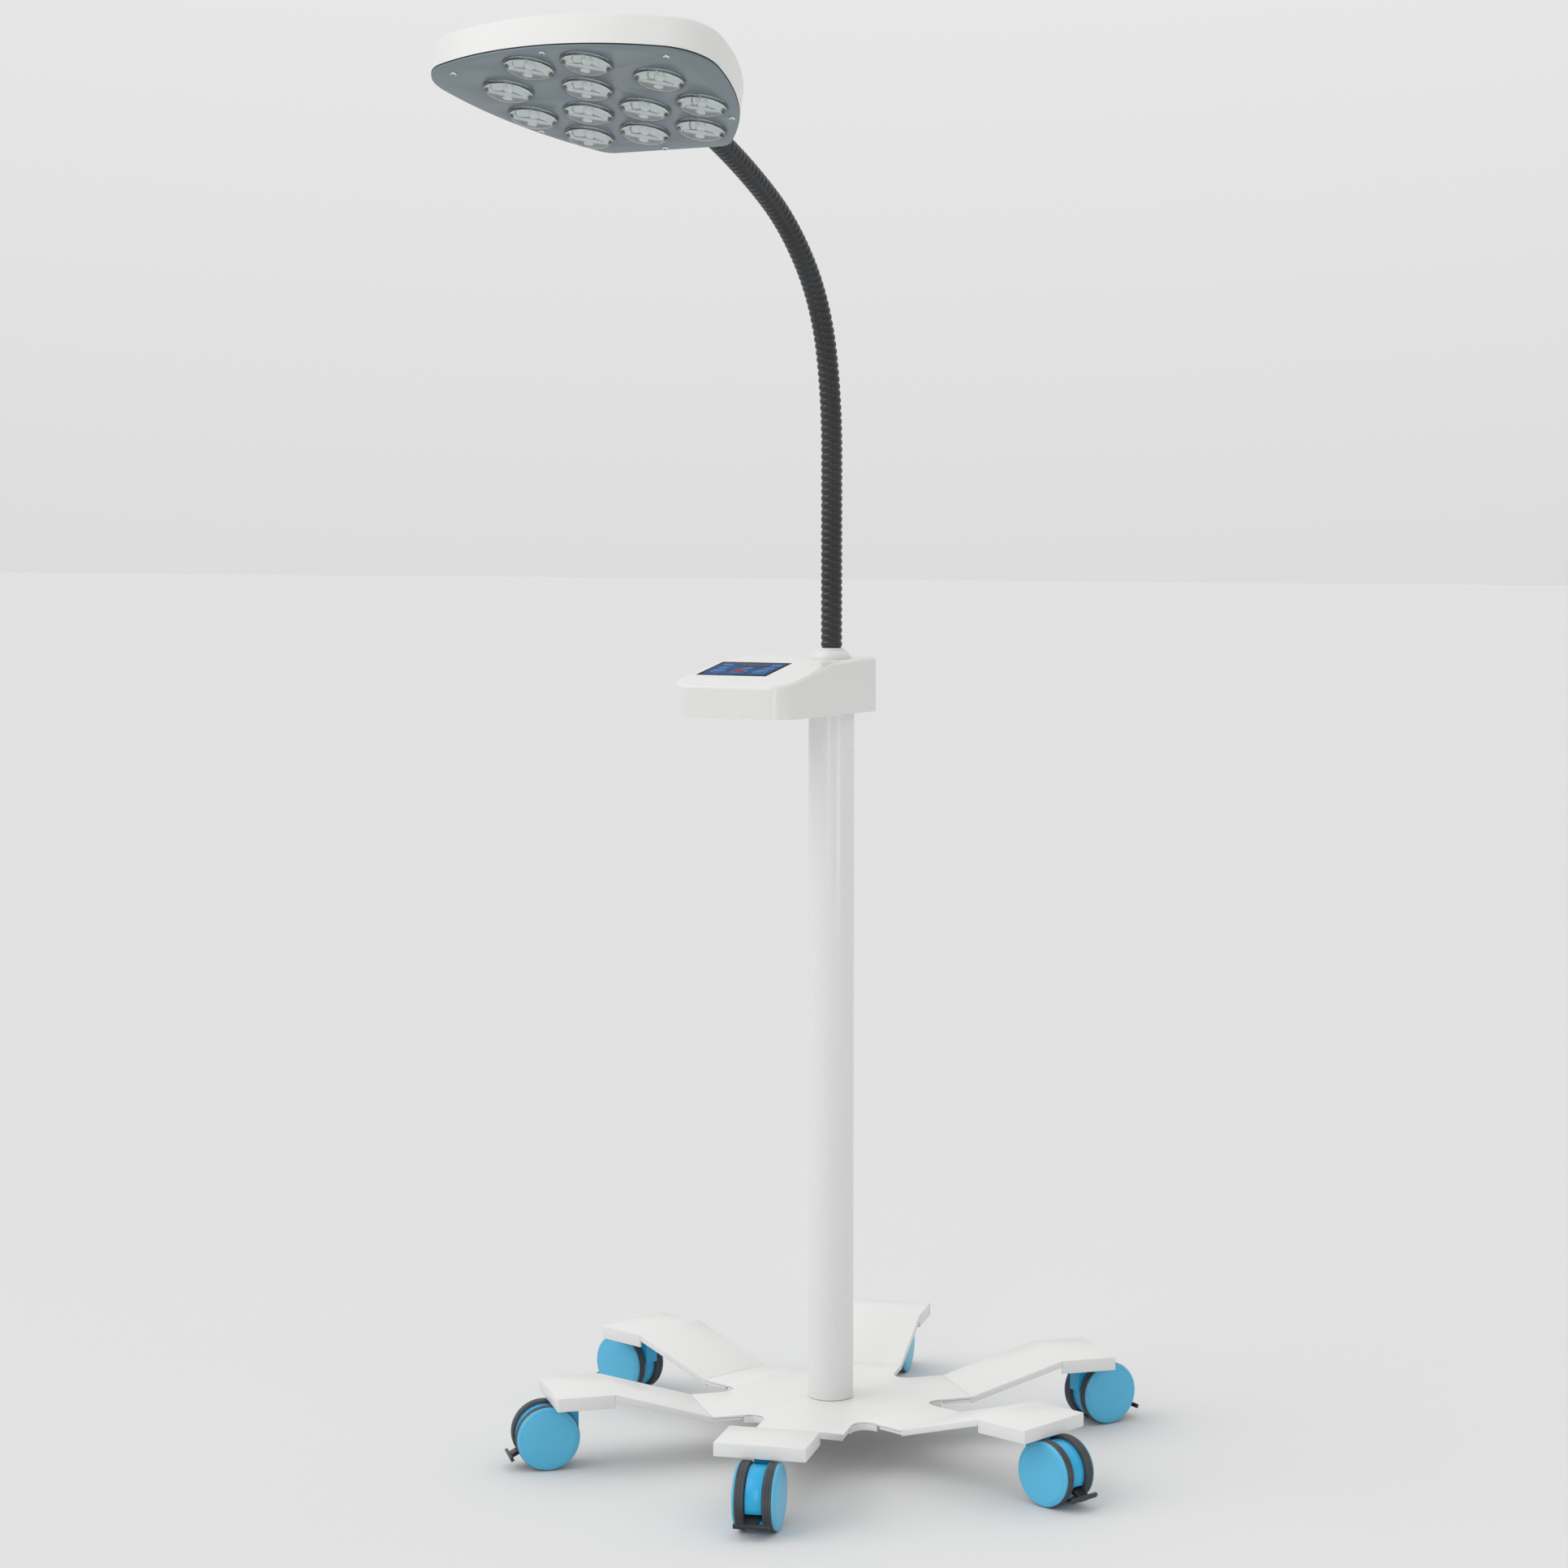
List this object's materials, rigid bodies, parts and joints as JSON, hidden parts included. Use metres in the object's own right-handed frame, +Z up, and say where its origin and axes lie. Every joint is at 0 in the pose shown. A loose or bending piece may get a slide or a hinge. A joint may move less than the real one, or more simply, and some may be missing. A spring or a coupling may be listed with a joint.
{
  "type": "surgical light",
  "caption": "Mobile surgical light: caster base, round pole, sloped control box, gooseneck and a flat lamp head with lenses.",
  "frame": {"origin": "on the floor, under the middle of the whole light's bounding box; the pole stands 123.4 mm behind it, towards +Y", "axes": "+Z up along the pole, -Y the way the lamp head reaches out and the control panel faces, +X to the right of someone who looks along +Y"},
  "size_m": [0.7712, 1.0209, 1.6043],
  "materials": {
    "base_paint": "satin",
    "pole_paint": "satin",
    "shell_white": "satin",
    "plain_steel": "satin",
    "keypad_film": "satin",
    "button_blue": "satin",
    "button_red": "satin",
    "board_green": "matte",
    "module_grey": "matte",
    "inlet_black": "satin",
    "face_grey": "satin",
    "lens_clear": "gloss",
    "neck_black": "satin",
    "caster_blue": "satin",
    "wheel_blue": "satin",
    "pedal_black": "satin"
  },
  "bodies": {
    "stand": {"hub_plate": "base_paint", "leg_1": "base_paint", "leg_2": "base_paint", "leg_3": "base_paint", "leg_4": "base_paint", "leg_5": "base_paint", "leg_6": "base_paint", "pole": "pole_paint", "pole_foot_plug": "plain_steel", "box_cover": "shell_white", "box_floor": "shell_white", "keypad_panel": "keypad_film", "control_board": "board_green", "power_module": "module_grey", "power_inlet": "inlet_black", "neck_collar": "plain_steel", "neck_link_1": "neck_black"},
    "neck_2": {"neck_link_2": "neck_black"},
    "neck_3": {"neck_link_3": "neck_black"},
    "neck_4": {"neck_link_4": "neck_black"},
    "neck_5": {"neck_link_5": "neck_black"},
    "neck_6": {"neck_link_6": "neck_black"},
    "lamp_head": {"neck_link_7": "neck_black", "neck_socket": "shell_white", "head_shell": "shell_white", "face_plate": "face_grey", "led_board": "board_green", "lens_01": "lens_clear", "lens_02": "lens_clear", "lens_03": "lens_clear", "lens_04": "lens_clear", "lens_05": "lens_clear", "lens_06": "lens_clear", "lens_07": "lens_clear", "lens_08": "lens_clear", "lens_09": "lens_clear", "lens_10": "lens_clear", "lens_11": "lens_clear", "lens_12": "lens_clear"},
    "dim_button": {"dim_button": "button_blue"},
    "power_button": {"power_button": "button_red"},
    "bright_button": {"bright_button": "button_blue"},
    "caster_1": {"caster_1_housing": "caster_blue"},
    "caster_1_wheels": {"caster_1_wheelset": "wheel_blue"},
    "caster_1_pedal": {"caster_1_brake_pedal": "pedal_black"},
    "caster_2": {"caster_2_housing": "caster_blue"},
    "caster_2_wheels": {"caster_2_wheelset": "wheel_blue"},
    "caster_2_pedal": {"caster_2_brake_pedal": "pedal_black"},
    "caster_3": {"caster_3_housing": "caster_blue"},
    "caster_3_wheels": {"caster_3_wheelset": "wheel_blue"},
    "caster_3_pedal": {"caster_3_brake_pedal": "pedal_black"},
    "caster_4": {"caster_4_housing": "caster_blue"},
    "caster_4_wheels": {"caster_4_wheelset": "wheel_blue"},
    "caster_4_pedal": {"caster_4_brake_pedal": "pedal_black"},
    "caster_5": {"caster_5_housing": "caster_blue"},
    "caster_5_wheels": {"caster_5_wheelset": "wheel_blue"},
    "caster_5_pedal": {"caster_5_brake_pedal": "pedal_black"},
    "caster_6": {"caster_6_housing": "caster_blue"},
    "caster_6_wheels": {"caster_6_wheelset": "wheel_blue"},
    "caster_6_pedal": {"caster_6_brake_pedal": "pedal_black"}
  },
  "joints": [
    {"name": "neck_bend_low", "type": "hinge", "parent": "stand", "child": "neck_2", "pos_m": [0, 0.1234, 1.069], "axis": [1, 0, 0], "range_deg": [-18, 18]},
    {"name": "neck_sway_low", "type": "hinge", "parent": "neck_2", "child": "neck_3", "pos_m": [0, 0.1234, 1.183], "axis": [0, 1, 0], "range_deg": [-18, 18]},
    {"name": "neck_bend_middle", "type": "hinge", "parent": "neck_3", "child": "neck_4", "pos_m": [0, 0.11052, 1.29602], "axis": [1, 0, 0], "range_deg": [-18, 18]},
    {"name": "neck_sway_middle", "type": "hinge", "parent": "neck_4", "child": "neck_5", "pos_m": [0, 0.05844, 1.39607], "axis": [0, 0.7431, 0.6691], "range_deg": [-18, 18]},
    {"name": "neck_bend_top", "type": "hinge", "parent": "neck_5", "child": "neck_6", "pos_m": [0, -0.03094, 1.4659], "axis": [1, 0, 0], "range_deg": [-18, 18]},
    {"name": "neck_sway_top", "type": "hinge", "parent": "neck_6", "child": "lamp_head", "pos_m": [0, -0.13461, 1.51314], "axis": [0, 0.3584, 0.9336], "range_deg": [-18, 18]},
    {"name": "caster_1_swivel", "type": "hinge", "parent": "stand", "child": "caster_1", "pos_m": [0.08062, -0.18834, 0.08], "axis": [0, 0, 1], "continuous": true},
    {"name": "caster_1_roll", "type": "hinge", "parent": "caster_1", "child": "caster_1_wheels", "pos_m": [0.08829, -0.21423, 0.0375], "axis": [0.9588, 0.284, 0], "continuous": true},
    {"name": "caster_1_brake", "type": "hinge", "parent": "caster_1", "child": "caster_1_pedal", "pos_m": [0.09511, -0.23726, 0.02473], "axis": [0.9588, 0.284, 0], "range_deg": [0, 10]},
    {"name": "caster_2_swivel", "type": "hinge", "parent": "stand", "child": "caster_2", "pos_m": [0.31029, 0.03735, 0.08], "axis": [0, 0, 1], "continuous": true},
    {"name": "caster_2_roll", "type": "hinge", "parent": "caster_2", "child": "caster_2_wheels", "pos_m": [0.33589, 0.02878, 0.0375], "axis": [0.3173, 0.9483, 0], "continuous": true},
    {"name": "caster_2_brake", "type": "hinge", "parent": "caster_2", "child": "caster_2_pedal", "pos_m": [0.35867, 0.02116, 0.02473], "axis": [0.3173, 0.9483, 0], "range_deg": [0, 10]},
    {"name": "caster_3_swivel", "type": "hinge", "parent": "stand", "child": "caster_3", "pos_m": [0.22967, 0.34909, 0.08], "axis": [0, 0, 1], "continuous": true},
    {"name": "caster_3_roll", "type": "hinge", "parent": "caster_3", "child": "caster_3_wheels", "pos_m": [0.24377, 0.37211, 0.0375], "axis": [-0.8526, 0.5225, 0], "continuous": true},
    {"name": "caster_3_brake", "type": "hinge", "parent": "caster_3", "child": "caster_3_pedal", "pos_m": [0.25632, 0.39259, 0.02473], "axis": [-0.8526, 0.5225, 0], "range_deg": [0, 10]},
    {"name": "caster_4_swivel", "type": "hinge", "parent": "stand", "child": "caster_4", "pos_m": [-0.08062, 0.43514, 0.08], "axis": [0, 0, 1], "continuous": true},
    {"name": "caster_4_roll", "type": "hinge", "parent": "caster_4", "child": "caster_4_wheels", "pos_m": [-0.08738, 0.46128, 0.0375], "axis": [-0.9681, -0.2504, 0], "continuous": true},
    {"name": "caster_4_brake", "type": "hinge", "parent": "caster_4", "child": "caster_4_pedal", "pos_m": [-0.0934, 0.48453, 0.02473], "axis": [-0.9681, -0.2504, 0], "range_deg": [0, 10]},
    {"name": "caster_5_swivel", "type": "hinge", "parent": "stand", "child": "caster_5", "pos_m": [-0.31029, 0.20945, 0.08], "axis": [0, 0, 1], "continuous": true},
    {"name": "caster_5_roll", "type": "hinge", "parent": "caster_5", "child": "caster_5_wheels", "pos_m": [-0.33665, 0.21529, 0.0375], "axis": [-0.2164, -0.9763, 0], "continuous": true},
    {"name": "caster_5_brake", "type": "hinge", "parent": "caster_5", "child": "caster_5_pedal", "pos_m": [-0.3601, 0.22049, 0.02473], "axis": [-0.2164, -0.9763, 0], "range_deg": [0, 10]},
    {"name": "caster_6_swivel", "type": "hinge", "parent": "stand", "child": "caster_6", "pos_m": [-0.22967, -0.10229, 0.08], "axis": [0, 0, 1], "continuous": true},
    {"name": "caster_6_roll", "type": "hinge", "parent": "caster_6", "child": "caster_6_wheels", "pos_m": [-0.24957, -0.12053, 0.0375], "axis": [0.6756, -0.7373, 0], "continuous": true},
    {"name": "caster_6_brake", "type": "hinge", "parent": "caster_6", "child": "caster_6_pedal", "pos_m": [-0.26728, -0.13676, 0.02473], "axis": [0.6756, -0.7373, 0], "range_deg": [0, 10]},
    {"name": "dim_button_press", "type": "slide", "parent": "stand", "child": "dim_button", "axis": [0, 0.1936, -0.9811], "range_m": [0, 0.0005], "stiffness_N_per_m": 200, "springref_m": -0.001},
    {"name": "power_button_press", "type": "slide", "parent": "stand", "child": "power_button", "axis": [0, 0.1936, -0.9811], "range_m": [0, 0.0005], "stiffness_N_per_m": 200, "springref_m": -0.001},
    {"name": "bright_button_press", "type": "slide", "parent": "stand", "child": "bright_button", "axis": [0, 0.1936, -0.9811], "range_m": [0, 0.0005], "stiffness_N_per_m": 200, "springref_m": -0.001}
  ],
  "couplings": [
    {"joint": "neck_bend_middle", "follows": "neck_bend_low", "ratio": 1},
    {"joint": "neck_sway_middle", "follows": "neck_sway_low", "ratio": 1}
  ]
}
